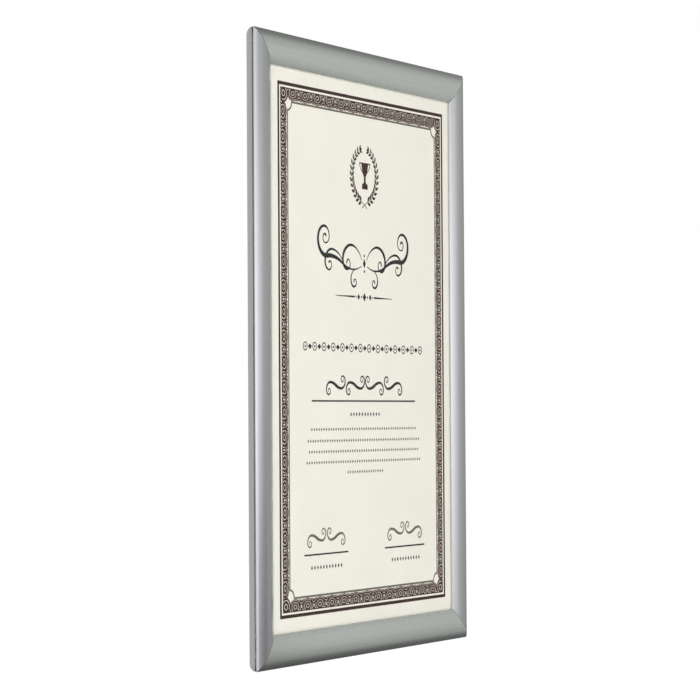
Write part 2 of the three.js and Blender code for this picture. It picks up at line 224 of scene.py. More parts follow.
def multiplied(tree, colour, tint):
    # the tint is another node's output or three plain shares
    mix = addNode(tree, "ShaderNodeMix", data_type="RGBA", blend_type="MULTIPLY")
    mix.inputs["Factor"].default_value = 1.0
    tree.links.new(colour, mix.inputs["A"])
    if isinstance(tint, tuple):
        mix.inputs["B"].default_value = (*tint, 1)
    else:
        tree.links.new(tint, mix.inputs["B"])
    return mix.outputs["Result"]


def bareMaterial(name):
    material = bpy.data.materials.new(name)
    material.use_nodes = True
    tree = material.node_tree
    tree.nodes.clear()
    return material, tree


def showSurface(tree, shader):
    out = addNode(tree, "ShaderNodeOutputMaterial")
    tree.links.new(shader, out.inputs["Surface"])


def setUpWorld():
    world = bpy.data.worlds.new("studio_world")
    bpy.context.scene.world = world
    world.use_nodes = True
    tree = world.node_tree
    tree.nodes.clear()
    blend = addNode(tree, "ShaderNodeMixShader")
    for number, strength in ((1, studio["fill"]), (2, studio["backdrop"])):
        white = addNode(tree, "ShaderNodeBackground")
        white.inputs["Color"].default_value = (1, 1, 1, 1)
        white.inputs["Strength"].default_value = strength
        tree.links.new(white.outputs[0], blend.inputs[number])
    rays = addNode(tree, "ShaderNodeLightPath")
    cameraOrGloss = addMath(tree, "ADD", rays.outputs["Is Camera Ray"], rays.outputs["Is Glossy Ray"])
    anyBright = addMath(tree, "ADD", cameraOrGloss, rays.outputs["Is Transmission Ray"], clamp=True)
    tree.links.new(anyBright, blend.inputs["Fac"])
    out = addNode(tree, "ShaderNodeOutputWorld")
    tree.links.new(blend.outputs[0], out.inputs["Surface"])


def setUpFloor():
    bpy.ops.object.select_all(action="DESELECT")
    bpy.ops.mesh.primitive_plane_add(size=studio["floorSize"], location=(0, 0, studio["floorHeight"]))
    floor = bpy.context.active_object
    floor.name = "studio_floor"
    material, tree = bareMaterial("studio_floor")
    matt = addNode(tree, "ShaderNodeBsdfDiffuse")
    matt.inputs["Color"].default_value = (*studio["floorShade"], 1)
    rays = addNode(tree, "ShaderNodeLightPath")
    cameraOrGloss = addMath(tree, "MAXIMUM", rays.outputs["Is Camera Ray"], rays.outputs["Is Glossy Ray"])
    glow = addNode(tree, "ShaderNodeEmission")
    tree.links.new(addMath(tree, "MULTIPLY", cameraOrGloss, studio["floorGlow"]), glow.inputs["Strength"])
    both = addNode(tree, "ShaderNodeAddShader")
    tree.links.new(matt.outputs[0], both.inputs[0])
    tree.links.new(glow.outputs[0], both.inputs[1])
    showSurface(tree, both.outputs[0])
    floor.data.materials.append(material)


def setUpLamps():
    # the lamps light matt surfaces; the metal sees the cards instead
    for name, lamp in lamps.items():
        data = bpy.data.lights.new(name, "AREA")
        data.shape = "RECTANGLE"
        data.size, data.size_y = lamp["size"]
        data.energy = lamp["watts"]
        holder = bpy.data.objects.new(name, data)
        bpy.context.scene.collection.objects.link(holder)
        aim = Vector((0, 0, middleZ)) - Vector(lamp["place"])
        turn = aim.to_track_quat("-Z", "Y").to_matrix().to_4x4()
        holder.matrix_world = Matrix.Translation(lamp["place"]) @ turn
        holder.visible_glossy = False


def addRamp(tree, stops):
    ramp = addNode(tree, "ShaderNodeValToRGB")
    ramp.color_ramp.interpolation = "EASE"
    points = ramp.color_ramp.elements
    points[0].position, first = stops[0]
    points[0].color = (first, first, first, 1)
    points[1].position, last = stops[-1]
    points[1].color = (last, last, last, 1)
    for position, value in stops[1:-1]:
        point = points.new(position)
        point.color = (value, value, value, 1)
    return ramp


def glossyOnly(card):
    card.visible_camera = False
    card.visible_diffuse = False
    card.visible_transmission = False
    card.visible_shadow = False


def addCard(name, look):
    # an upright or level card, and its shade as a colour: along it times up it
    bpy.ops.object.select_all(action="DESELECT")
    turned = (math.radians(look["tilt"]), 0, math.radians(look["turn"]))
    bpy.ops.mesh.primitive_plane_add(size=1, location=look["place"], rotation=turned)
    card = bpy.context.active_object
    card.name = name
    card.scale = (*look["size"], 1)
    bpy.ops.object.transform_apply(location=False, rotation=False, scale=True)
    material, tree = bareMaterial(name)
    place = addNode(tree, "ShaderNodeTexCoord")
    split = addNode(tree, "ShaderNodeSeparateXYZ")
    tree.links.new(place.outputs["Object"], split.inputs[0])
    shades = []
    for axis, length, stops in (("X", look["size"][0], look["along"]), ("Y", look["size"][1], look["up"])):
        # the card's own origin is its middle, halfway along the ramp
        share = addMath(tree, "MULTIPLY_ADD", split.outputs[axis], 1 / length, 0.5)
        ramp = addRamp(tree, stops)
        tree.links.new(share, ramp.inputs[0])
        shades.append(ramp.outputs[0])
    card.data.materials.append(material)
    glossyOnly(card)
    return tree, multiplied(tree, *shades)


def setUpCards():
    for name, look in cards.items():
        tree, shade = addCard(name, look)
        glow = addNode(tree, "ShaderNodeEmission")
        glow.inputs["Strength"].default_value = look["glow"]
        tree.links.new(multiplied(tree, shade, look["tint"]), glow.inputs["Color"])
        showSurface(tree, glow.outputs[0])


def setUpScrim():
    tree, shade = addCard("left_scrim", scrim)
    gauze = addNode(tree, "ShaderNodeBsdfTransparent")
    tree.links.new(shade, gauze.inputs["Color"])
    showSurface(tree, gauze.outputs[0])


setUpWorld()
setUpFloor()
setUpLamps()
setUpCards()
setUpScrim()
print("studio lit")


# finishes
def newFinish(name):
    material = bpy.data.materials.new(name)
    material.use_nodes = True
    tree = material.node_tree
    shader = tree.nodes["Principled BSDF"]
    place = addNode(tree, "ShaderNodeTexCoord")
    return material, tree, shader, place


def addNoise(tree, place, waves, detail=3.0, roughness=0.55):
    # waves per metre: one number, or one for each axis
    if isinstance(waves, (int, float)):
        waves = (waves, waves, waves)
    stretch = addNode(tree, "ShaderNodeMapping")
    stretch.inputs["Scale"].default_value = waves
    noise = addNode(tree, "ShaderNodeTexNoise")
    noise.inputs["Scale"].default_value = 1.0
    noise.inputs["Detail"].default_value = detail
    noise.inputs["Roughness"].default_value = roughness
    tree.links.new(place.outputs["Object"], stretch.inputs["Vector"])
    tree.links.new(stretch.outputs[0], noise.inputs["Vector"])
    return noise.outputs["Fac"]


def blended(tree, first, second, share):
    # a share of the first noise and the rest of the second
    rest = addMath(tree, "MULTIPLY", second, 1 - share)
    return addMath(tree, "MULTIPLY_ADD", first, share, rest)


def addRange(tree, value, low, high, start=0.3, end=0.7):
    span = addNode(tree, "ShaderNodeMapRange")
    span.inputs["From Min"].default_value = start
    span.inputs["From Max"].default_value = end
    span.inputs["To Min"].default_value = low
    span.inputs["To Max"].default_value = high
    tree.links.new(value, span.inputs["Value"])
    return span.outputs["Result"]


def addTint(tree, noise, look):
    # the look's dark and light colours, mixed by a noise
    mix = addNode(tree, "ShaderNodeMix", data_type="RGBA")
    mix.inputs["A"].default_value = (*look["dark"], 1)
    mix.inputs["B"].default_value = (*look["light"], 1)
    tree.links.new(addRange(tree, noise, 0, 1), mix.inputs["Factor"])
    return mix.outputs["Result"]


def addBump(tree, shader, height, look):
    bump = addNode(tree, "ShaderNodeBump")
    bump.inputs["Strength"].default_value = look["relief"]
    bump.inputs["Distance"].default_value = look["depth"]
    tree.links.new(height, bump.inputs["Height"])
    tree.links.new(bump.outputs[0], shader.inputs["Normal"])


def addPaintedGrooveShade(tree, place, colour, groove, grain):
    # painted shade: the metal's colour darkens toward the hinge groove along the frame's outer edge, in
    # place of the shade that falls in the groove
    shift = addNode(tree, "ShaderNodeMapping")
    shift.inputs["Location"].default_value = (0, 0, -middleZ)
    apart = addNode(tree, "ShaderNodeSeparateXYZ")
    tree.links.new(place.outputs["Object"], shift.inputs["Vector"])
    tree.links.new(shift.outputs[0], apart.inputs[0])
    outward = addMath(tree, "ABSOLUTE", apart.outputs["Z" if grain == xAxis else "X"])
    outside = addMath(tree, "GREATER_THAN", outward, groove["edge"][grain] - groove["reach"])
    deep = addRange(tree, apart.outputs["Y"], 0, groove["shade"], groove["from"], groove["to"])
    mix = addNode(tree, "ShaderNodeMix", data_type="RGBA")
    mix.inputs["B"].default_value = (*groove["dark"], 1)
    tree.links.new(addMath(tree, "MULTIPLY", deep, outside), mix.inputs["Factor"])
    tree.links.new(colour, mix.inputs["A"])
    return mix.outputs["Result"]


def drawnMetal(name, look, grain):
    # aluminium drawn through a die: fine lines run along the rail
    material, tree, shader, place = newFinish(name)
    fine = [look["lines"]] * 3
    broad = [look["bands"]] * 3
    fine[grain] = look["linesAlong"]
    broad[grain] = look["bandsAlong"]
    lines = addNoise(tree, place, fine, detail=4.0, roughness=0.65)
    bands = addNoise(tree, place, broad, detail=2.0, roughness=0.5)
    grit = addNoise(tree, place, look["grit"], detail=2.0, roughness=0.5)
    both = blended(tree, lines, bands, look["lineShare"])
    colour = addTint(tree, both, look)
    # painted shade darkens the colour toward the hinge groove
    if "groove" in look:
        colour = addPaintedGrooveShade(tree, place, colour, look["groove"], grain)
    tree.links.new(colour, shader.inputs["Base Color"])
    tree.links.new(addRange(tree, both, *look["roughness"]), shader.inputs["Roughness"])
    addBump(tree, shader, addMath(tree, "ADD", lines, grit), look)
    shader.inputs["Metallic"].default_value = 1.0
    return material


def plainMetal(name, look):
    # rolled, plated or blackened steel, or a sawn end, with a fine even grain
    material, tree, shader, place = newFinish(name)
    cloud = addNoise(tree, place, look["cloud"], detail=3.0, roughness=0.6)
    grit = addNoise(tree, place, look["grit"], detail=3.0, roughness=0.6)
    tree.links.new(addTint(tree, cloud, look), shader.inputs["Base Color"])
    tree.links.new(addRange(tree, grit, *look["roughness"]), shader.inputs["Roughness"])
    addBump(tree, shader, grit, look)
    shader.inputs["Metallic"].default_value = look["metal"]
    return material


# painted shade in the hinge groove: how far out the frame reaches across each grain, and the depths between
# which the painted shade grows
hingeGroovePaintedShade = {"edge": {xAxis: 225.5 * mm, zAxis: 164 * mm}, "reach": 4 * mm, "from": -10.35 * mm,
               "to": -9.85 * mm, "shade": 0.3, "dark": (0.1, 0.1, 0.11)}
# one satin anodised finish in lit and shaded copies: the upright rails' colour is painted darker and bluer
# and the across rails' colour lighter and greener, as light falls on them
satinUprightPaintedShade = {"dark": (0.65, 0.65, 0.68), "light": (0.73, 0.73, 0.76), "roughness": (0.25, 0.31),
                "lines": 900, "linesAlong": 5, "bands": 160, "bandsAlong": 2, "lineShare": 0.6,
                "grit": 5200, "relief": 0.25, "depth": 0.02 * mm, "groove": hingeGroovePaintedShade}
satinAcrossPaintedLight = dict(satinUprightPaintedShade, dark=(0.865, 0.89, 0.87), light=(0.945, 0.97, 0.95))
millAluminium = {"dark": (0.675, 0.67, 0.675), "light": (0.765, 0.76, 0.765), "roughness": (0.32, 0.4),
                 "lines": 700, "linesAlong": 4, "bands": 120, "bandsAlong": 1.6, "lineShare": 0.6,
                 "grit": 3600, "relief": 0.3, "depth": 0.03 * mm}
sawnAluminium = {"dark": (0.66, 0.67, 0.68), "light": (0.83, 0.84, 0.85), "roughness": (0.38, 0.5),
                 "cloud": 300, "grit": 2600, "relief": 0.5, "depth": 0.04 * mm, "metal": 1.0}
springSteel = {"dark": (0.42, 0.43, 0.45), "light": (0.55, 0.56, 0.58), "roughness": (0.2, 0.32),
               "cloud": 60, "grit": 2400, "relief": 0.2, "depth": 0.02 * mm, "metal": 1.0}
zincPlate = {"dark": (0.50, 0.51, 0.50), "light": (0.68, 0.70, 0.68), "roughness": (0.3, 0.5),
             "cloud": 420, "grit": 1800, "relief": 0.3, "depth": 0.03 * mm, "metal": 1.0}
blackenedSteel = {"dark": (0.025, 0.025, 0.028), "light": (0.06, 0.06, 0.065), "roughness": (0.32, 0.5),
                  "cloud": 500, "grit": 3000, "relief": 0.3, "depth": 0.02 * mm, "metal": 0.6}
coverFinish = {}
railFinish = {}
for sides, run, grain, satin in (
    (("bottom", "top"), "across", xAxis, satinAcrossPaintedLight),
    (("left", "right"), "upright", zAxis, satinUprightPaintedShade),
):
    # each run gets its own painted-shading copy of the satin finish
    coverMetal = drawnMetal("satin_aluminium_painted_shading_" + run, satin, grain)
    railMetal = drawnMetal("mill_aluminium_" + run, millAluminium, grain)
    for side in sides:
        coverFinish[side] = coverMetal
        railFinish[side] = railMetal
sawnEnd = plainMetal("sawn_aluminium", sawnAluminium)
springFinish = plainMetal("spring_steel", springSteel)
keyFinish = plainMetal("zinc_plate", zincPlate)
screwFinish = plainMetal("blackened_steel", blackenedSteel)
print("metal finishes mixed")


# pieces with the solids' own shapes, some with eased edges
finishing = {
    "weld": 0.001 * mm,
    "flat": 0.15,     # degrees: faces that differ by less become one
    "sharp": 40,      # degrees: edges that turn by more are eased
    "smooth": 30,     # degrees: edges that turn by less are shaded smooth
    "mitreSkew": 0.02,
    "mitreLean": 0.05,
}


def isMitre(face):
    # a sawn end faces halfway between across and up
    skew = abs(abs(face.normal.x) - abs(face.normal.z))
    return skew < finishing["mitreSkew"] and abs(face.normal.y) < finishing["mitreLean"]


def isCorner(edge):
    return len(edge.link_faces) == 2 and edge.calc_face_angle(0) > math.radians(finishing["sharp"])


def finishedCopy(nodeName, slot, materials, ease=0.0, longerThan=0.0):
    # eases the corners that are longer than longerThan; a second material goes on the sawn mitres
    source = frame["nodes"][nodeName]
    piece = bpy.data.objects.new(nodeName + "_finished", source.data.copy())
    bpy.context.scene.collection.objects.link(piece)
    piece.data.materials.clear()
    for material in materials:
        piece.data.materials.append(material)
    startOn(piece)
    if piece.data.has_custom_normals:
        bpy.ops.mesh.customdata_custom_splitnormals_clear()
    bpy.ops.object.mode_set(mode="EDIT")
    bpy.ops.mesh.select_all(action="SELECT")
    bpy.ops.mesh.remove_doubles(threshold=finishing["weld"])
    bpy.ops.mesh.dissolve_limited(angle_limit=math.radians(finishing["flat"]))
    if ease:
        pick(piece, "edges", lambda edge: edge.calc_length() > longerThan and isCorner(edge))
        bpy.ops.mesh.bevel(offset=ease, segments=1, affect="EDGES", clamp_overlap=True)
    bpy.ops.object.mode_set(mode="OBJECT")
    for face in piece.data.polygons:
        face.material_index = 1 if len(materials) > 1 and isMitre(face) else 0
    startOn(piece)
    bpy.ops.object.shade_smooth_by_angle(angle=math.radians(finishing["smooth"]))
    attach(piece, source["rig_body"])
    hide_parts(nodeName)


extrusionEdge = {"ease": 0.12 * mm, "longerThan": 50 * mm}
for side in ("bottom", "right", "top", "left"):
    finishedCopy("snap_profile_" + side, "snap_profiles", [coverFinish[side], sawnEnd], **extrusionEdge)
    finishedCopy("base_rail_" + side, "base_rails", [railFinish[side], sawnEnd], **extrusionEdge)
smallParts = {
    "leaf_spring": ("leaf_springs", springFinish),
    "corner_key": ("corner_keys", keyFinish),
    "key_screw": ("key_screws", screwFinish),
}
for nodeName in frame["nodes"]:
    for kind, (slot, finish) in smallParts.items():
        if nodeName.startswith(kind):
            finishedCopy(nodeName, slot, [finish])
print("metal pieces finished")


# sheets
creamPaper = {"dark": (0.83, 0.815, 0.715), "light": (0.87, 0.855, 0.755), "roughness": (0.6, 0.75),
              "fibre": (1400, 1400, 840), "cloud": 25, "fibreShare": 0.5,
              "relief": 0.12, "depth": 0.02 * mm, "shine": 0.25}
whiteBoard = {"dark": (0.77, 0.77, 0.75), "light": (0.81, 0.81, 0.79), "roughness": (0.5, 0.7),
              "fibre": (700, 700, 420), "cloud": 18, "fibreShare": 0.5,
              "relief": 0.15, "depth": 0.04 * mm, "shine": 0.3}
clearPlastic = {"tint": (0.96, 0.975, 0.98), "alpha": 0.012, "roughness": (0.1, 0.18), "grain": 3000,
                "relief": 0.05, "depth": 0.01 * mm, "shine": 0.15, "bending": 1.49}
sheetEase = {"back_panel": 0.15 * mm, "print_sheet": 0.04 * mm, "clear_cover_sheet": 0.08 * mm}


def paperFinish(name, look):
    material, tree, shader, place = newFinish(name)
    fibre = addNoise(tree, place, look["fibre"], detail=5.0, roughness=0.7)
    cloud = addNoise(tree, place, look["cloud"], detail=2.0, roughness=0.5)
    both = blended(tree, fibre, cloud, look["fibreShare"])
    tree.links.new(addTint(tree, both, look), shader.inputs["Base Color"])
    tree.links.new(addRange(tree, fibre, *look["roughness"]), shader.inputs["Roughness"])
    addBump(tree, shader, fibre, look)
    shader.inputs["Specular IOR Level"].default_value = look["shine"]
    return material


def clearFinish(name, look):
    material, tree, shader, place = newFinish(name)
    grain = addNoise(tree, place, look["grain"], detail=2.0, roughness=0.5)
    tree.links.new(addRange(tree, grain, *look["roughness"]), shader.inputs["Roughness"])
    addBump(tree, shader, grain, look)
    shader.inputs["Base Color"].default_value = (*look["tint"], 1)
    shader.inputs["IOR"].default_value = look["bending"]
    shader.inputs["Specular IOR Level"].default_value = look["shine"]
    shader.inputs["Alpha"].default_value = look["alpha"]
    return material


for nodeName, slot, finish in (
    ("back_panel", "back_panel", paperFinish("white_board", whiteBoard)),
    ("print_sheet", "print_sheet", paperFinish("cream_paper", creamPaper)),
    ("clear_cover_sheet", "clear_cover", clearFinish("clear_plastic", clearPlastic)),
):
    finishedCopy(nodeName, slot, [finish], sheetEase[nodeName])
print("sheets finished")


# the print's ornament, drawn as thin ink on the paper
inkLook = {"mottle": 900, "roughness": (0.5, 0.7), "shine": 0.1}
inkColours = {
    "brown_ink": {"dark": (0.046, 0.015, 0.006), "light": (0.068, 0.027, 0.013)},
    "dark_brown_ink": {"dark": (0.028, 0.010, 0.005), "light": (0.042, 0.017, 0.009)},
    "black_ink": {"dark": (0.010, 0.009, 0.009), "light": (0.020, 0.018, 0.017)},
    "grey_ink": {"dark": (0.13, 0.105, 0.08), "light": (0.17, 0.14, 0.11)},
}
# how far ink stands proud and reaches in, and how much more proud each further layer stands
inkDepth = {"lift": 0.02 * mm, "sunk": 0.02 * mm, "step": 0.002 * mm, "weld": 0.002 * mm}


def inkFinish(name):
    material, tree, shader, place = newFinish(name)
    mottle = addNoise(tree, place, inkLook["mottle"], detail=4.0, roughness=0.6)
    tree.links.new(addTint(tree, mottle, inkColours[name]), shader.inputs["Base Color"])
    tree.links.new(addRange(tree, mottle, *inkLook["roughness"]), shader.inputs["Roughness"])
    shader.inputs["Specular IOR Level"].default_value = inkLook["shine"]
    return material


brownInk = inkFinish("brown_ink")
darkInk = inkFinish("dark_brown_ink")
blackInk = inkFinish("black_ink")
greyInk = inkFinish("grey_ink")


def onPrint(x, z):
    # a place on the print, from mm across and up; the ornament is drawn about the frame's middle
    return Vector((x * mm, 0, z * mm))


def toward(angle):
    # the direction at an angle that turns left from straight across
    return Vector((math.cos(angle), 0, math.sin(angle)))


def penStroke(start, heading, width, moves):
    # an edge as wide as the pen is spun or pushed along the path and widened or narrowed on the way;
    # each move is (turn radius, degrees or length, width at its end, steps), a positive radius turning left
    angle = math.radians(heading)
    spot = onPrint(*start)
    ahead = toward(angle)
    width = width * mm
    bpy.ops.object.select_all(action="DESELECT")
    bpy.ops.mesh.primitive_plane_add(size=width, location=spot - ahead * width / 2,
                                     rotation=(math.pi / 2, -angle, 0))
    line = bpy.context.active_object
    bpy.ops.object.transform_apply(location=True, rotation=True, scale=True)
    bpy.ops.object.mode_set(mode="EDIT")
    pick(line, "verts", lambda point: (point.co - spot).dot(ahead) < -width / 2)
    bpy.ops.mesh.delete(type="VERT")
    bpy.ops.mesh.select_all(action="SELECT")
    for radius, amount, endWidth, steps in moves:
        startWidth = width
        for step in range(steps):
            if radius:
                turn = math.radians(amount) / steps * (1 if radius > 0 else -1)
                hub = spot + Vector((-math.sin(angle), 0, math.cos(angle))) * radius * mm
                bpy.ops.mesh.spin(steps=1, angle=turn, center=hub, axis=(0, 1, 0))
                angle += turn
                spot = hub - Vector((-math.sin(angle), 0, math.cos(angle))) * radius * mm
            else:
                push = toward(angle) * amount * mm / steps
                bpy.ops.mesh.extrude_edges_move(TRANSFORM_OT_translate={"value": push})
                spot = spot + push
            nextWidth = startWidth + (endWidth * mm - startWidth) * (step + 1) / steps
            share = nextWidth / width
            if not math.isclose(share, 1):
                bpy.ops.transform.resize(value=(share, share, share), center_override=spot)
            width = nextWidth
    bpy.ops.object.mode_set(mode="OBJECT")
    return line


def bar(start, heading, width, length, steps=1):
    return penStroke(start, heading, width, [(0, length, width, steps)])


def arcBand(inner, outer, fromAngle, toAngle, steps, centre=(0, 0)):
    # part of a flat ring, turning left from one angle to the other
    middle = (inner + outer) / 2
    wide = outer - inner
    first = math.radians(fromAngle)
    start = (centre[0] + middle * math.cos(first), centre[1] + middle * math.sin(first))
    return penStroke(start, fromAngle + 90, wide, [(middle, toAngle - fromAngle, wide, steps)])


def flatDisc(centre, radius, corners=12, squash=1.0, stretch=1.0):
    middle = onPrint(*centre)
    bpy.ops.object.select_all(action="DESELECT")
    bpy.ops.mesh.primitive_circle_add(vertices=corners, radius=radius * mm, fill_type="NGON",
                                      location=middle, rotation=(math.pi / 2, 0, 0))
    disc = bpy.context.active_object
    bpy.ops.object.transform_apply(location=True, rotation=True, scale=True)
    bpy.ops.object.mode_set(mode="EDIT")
    bpy.ops.mesh.select_all(action="SELECT")
    bpy.ops.transform.resize(value=(stretch, 1, squash), center_override=middle)
    bpy.ops.object.mode_set(mode="OBJECT")
    return disc


def lozenge(centre, wide, high):
    return flatDisc(centre, 1.0, corners=4, stretch=wide / 2, squash=high / 2)


def ruledBox(halfWidth, halfHeight, thick):
    bpy.ops.object.select_all(action="DESELECT")
    bpy.ops.mesh.primitive_plane_add(size=1, location=(0, 0, 0), rotation=(math.pi / 2, 0, 0))
    box = bpy.context.active_object
    bpy.ops.object.transform_apply(location=True, rotation=True, scale=True)
    bpy.ops.object.mode_set(mode="EDIT")
    bpy.ops.mesh.select_all(action="SELECT")
    bpy.ops.transform.resize(value=(2 * halfWidth * mm, 1, 2 * halfHeight * mm), center_override=(0, 0, 0))
    bpy.ops.mesh.inset(thickness=thick * mm)
    bpy.ops.mesh.delete(type="FACE")
    bpy.ops.object.mode_set(mode="OBJECT")
    return box


def laidOnPaper(parts, name, ink, layer=0):
    # gives flat shapes their ink's thickness and sets them into the paper's face
    whole = joined(parts, name)
    bpy.ops.object.mode_set(mode="EDIT")
    bpy.ops.mesh.select_all(action="SELECT")
    bpy.ops.mesh.remove_doubles(threshold=inkDepth["weld"])
    pick(whole, "faces", lambda face: face.normal.y > 0)
    bpy.ops.mesh.flip_normals()
    bpy.ops.mesh.select_all(action="SELECT")
    front = sheetFront - inkDepth["lift"] - inkDepth["step"] * layer
    bpy.ops.transform.translate(value=(0, front, middleZ))
    bpy.ops.object.mode_set(mode="OBJECT")
    wall = whole.modifiers.new("ink", "SOLIDIFY")
    wall.thickness = inkDepth["lift"] + inkDepth["sunk"]
    wall.offset = -1
    startOn(whole)
    bpy.ops.object.modifier_apply(modifier=wall.name)
    whole.data.materials.clear()
    whole.data.materials.append(ink)
    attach(whole, "frame")


# the border: an outer rule, a band of squat rosettes, and an inner rule with hollow corners;
# each ring is (inner radius, outer radius, first angle, last angle, steps), each tooth (place, length)
border = {
    "middle": 1.45,
    "ruleHalf": (129.4, 191.35), "ruleThick": 2.45,
    "bandHalf": (125.35, 187.45), "bandWide": 8.6, "edgeThick": 0.9,
    "across": 13, "down": 20,
    "hub": 3.4, "squat": 0.66,
    "rings": [(0.1, 1.9, 0, 360, 12), (2.4, 4.7, 0, 360, 16), (5.1, 7.1, -214, 34, 18),
              (7.4, 8.5, -204, 24, 18)],
    "teeth": [(-6.4, 1.5), (-2.9, 1.7), (0.3, 1.7), (3.5, 1.7), (6.6, 1.5), (8.9, 3.4)], "tooth": 2.3,
    "smallRings": [(1.0, 2.7, 0, 180, 10), (3.1, 4.4, 0, 180, 10)],
    "cornerRings": [(0.1, 1.8, 0, 360, 18), (2.3, 4.5, 0, 360, 18), (5.0, 6.6, 142, 308, 18)],
    "innerHalf": (115.3, 177.6), "innerThick": 1.5, "hollow": 6.0, "hollowSteps": 8,
}


def bigRosette():
    # rings about its own origin, the outer two open at the top, under a row of teeth, then squashed
    parts = [arcBand(*ring) for ring in border["rings"]]
    edge = border["hub"] / border["squat"]
    for place, long in border["teeth"]:
        parts.append(bar((place, edge), -90, border["tooth"], long))
    whole = joined(parts, "rosette")
    whole.data.transform(Matrix.Diagonal((1, 1, border["squat"], 1)))
    return whole


def drawBand():
    big = bigRosette()
    # half rings that stand on the band's inner edge
    small = joined([arcBand(*ring) for ring in border["smallRings"]], "small_rosette")
    # for the upper right corner: two rings, and an arc on the side of the paper's middle
    corner = joined([arcBand(*ring) for ring in border["cornerRings"]], "corner_rosette")
    halfX, halfZ = border["bandHalf"]
    wide = border["bandWide"]
    quarter = math.pi / 2
    parts = []
    for turn, half, count, reach in (
        (0, halfX, border["across"], halfZ), (2 * quarter, halfX, border["across"], halfZ),
        (quarter, halfZ, border["down"], halfX), (-quarter, halfZ, border["down"], halfX),
    ):
        wheel = Matrix.Rotation(-turn, 4, "Y")
        run = 2 * (half - wide)
        step = run / count
        for number in range(count):
            along = -run / 2 + step * (number + 0.5)
            parts.append(copied(big, wheel @ onPrint(along, reach - border["hub"]), turn))
            if number:
                along = -run / 2 + step * number
                parts.append(copied(small, wheel @ onPrint(along, reach - wide), turn))
    for signX, signZ, turn in ((1, 1, 0), (-1, 1, quarter), (-1, -1, 2 * quarter), (1, -1, -quarter)):
        place = onPrint(signX * (halfX - wide / 2), signZ * (halfZ - wide / 2))
        parts.append(copied(corner, place, turn))
    for pattern in (big, small, corner):
        bpy.data.objects.remove(pattern)
    return parts


def drawInnerRule():
    halfX, halfZ = border["innerHalf"]
    thick, hollow = border["innerThick"], border["hollow"]
    reachX = halfX - hollow + thick / 2
    reachZ = halfZ - hollow + thick / 2
    parts = []
    for sign in (1, -1):
        parts.append(bar((-reachX, sign * halfZ), 0, thick, 2 * reachX))
        parts.append(bar((sign * halfX, -reachZ), 90, thick, 2 * reachZ))
    # each hollow corner's arc begins and ends at the inner edges of the lines that it meets
    trim = math.degrees(math.asin(thick / 2 / hollow))
    for signX, signZ, begin in ((1, 1, 180), (-1, 1, 270), (-1, -1, 0), (1, -1, 90)):
        parts.append(arcBand(hollow - thick / 2, hollow + thick / 2, begin + trim, begin + 90 - trim,
                             border["hollowSteps"], (signX * halfX, signZ * halfZ)))
    return parts


def drawEdges():
    # the dark rule outside the band, and a thin line along the band's outer edge
    return [ruledBox(*border["ruleHalf"], border["ruleThick"]),
            ruledBox(*border["bandHalf"], border["edgeThick"])]


toBorder = Matrix.Translation(onPrint(border["middle"], 0))
laidOnPaper(placed(drawBand(), toBorder), "print_border", brownInk)
laidOnPaper(placed(drawEdges(), toBorder), "print_border_rules", darkInk, 1)
laidOnPaper(placed(drawInnerRule(), toBorder), "print_inner_rule", greyInk)
print("border drawn")


# a wreath of two laurel sprays round a cup
wreath = {
    "centre": (0.9, 132.8), "radius": 18.6, "stretch": (1.04, 1.09),
    "firstAngle": -76, "lastAngle": 67, "stem": 0.45, "stemSteps": 24,
    "tail": 9.4, "tailDrop": 28, "tailWide": 0.72,
    "leaves": 13, "spread": 35, "rootGap": 0.35, "tipSize": 0.8,
    "leafLong": 5.3, "leafWide": 2.3,
    "leafBody": 2.6,    # half the round part's length is the leaf's length over this
    "leafPoint": 0.1,   # share of the leaf's length that each point adds
}


def laurelLeaf():
    # a stretched disc with both ends drawn out to points, its root at its own origin
    half = wreath["leafLong"] / wreath["leafBody"]
    leaf = flatDisc((0, 0), 1.0, stretch=half, squash=wreath["leafWide"] / 2)
    bpy.ops.object.mode_set(mode="EDIT")
    nearEnd = 0.95 * half * mm    # only the corner at the very end lies beyond this
    for end in (1, -1):
        pick(leaf, "verts", lambda point: point.co.x * end > nearEnd)
        bpy.ops.transform.translate(value=onPrint(end * wreath["leafLong"] * wreath["leafPoint"], 0))
    bpy.ops.mesh.select_all(action="SELECT")
    bpy.ops.transform.translate(value=onPrint(wreath["leafLong"] / 2, 0))
    bpy.ops.object.mode_set(mode="OBJECT")
    return leaf


def laurelSpray():
    leaf = laurelLeaf()
    radius, stem = wreath["radius"], wreath["stem"]
    first, last = wreath["firstAngle"], wreath["lastAngle"]
    parts = [arcBand(radius - stem / 2, radius + stem / 2, first, last, wreath["stemSteps"])]
    base = (radius * math.cos(math.radians(first)), radius * math.sin(math.radians(first)))
    tail = [(0, wreath["tail"], wreath["tailWide"], 2)]
    parts.append(penStroke(base, 180 + wreath["tailDrop"], stem, tail))
    each = (last - first) / (wreath["leaves"] - 1)
    for number in range(wreath["leaves"]):
        angle = math.radians(first + each * number)
        size = 1 + (wreath["tipSize"] - 1) * number / wreath["leaves"]
        place = onPrint(radius * math.cos(angle), radius * math.sin(angle))
        for side in (1, -1):
            lean = angle + math.pi / 2 + side * math.radians(wreath["spread"])
            root = place - toward(angle) * side * wreath["rootGap"] * mm
            parts.append(copied(leaf, root, lean, size=size))
    tip = math.radians(last)
    end = onPrint(radius * math.cos(tip), radius * math.sin(tip))
    parts.append(copied(leaf, end, tip + math.pi / 2, size=wreath["tipSize"]))
    bpy.data.objects.remove(leaf)
    return joined(parts, "laurel_spray")


def drawWreath():
    right = laurelSpray()
    left = copied(right, mirror=True)
    stretchX, stretchZ = wreath["stretch"]
    shape = Matrix.Diagonal((stretchX, 1, stretchZ, 1))
    return placed([right, left], Matrix.Translation(onPrint(*wreath["centre"])) @ shape)


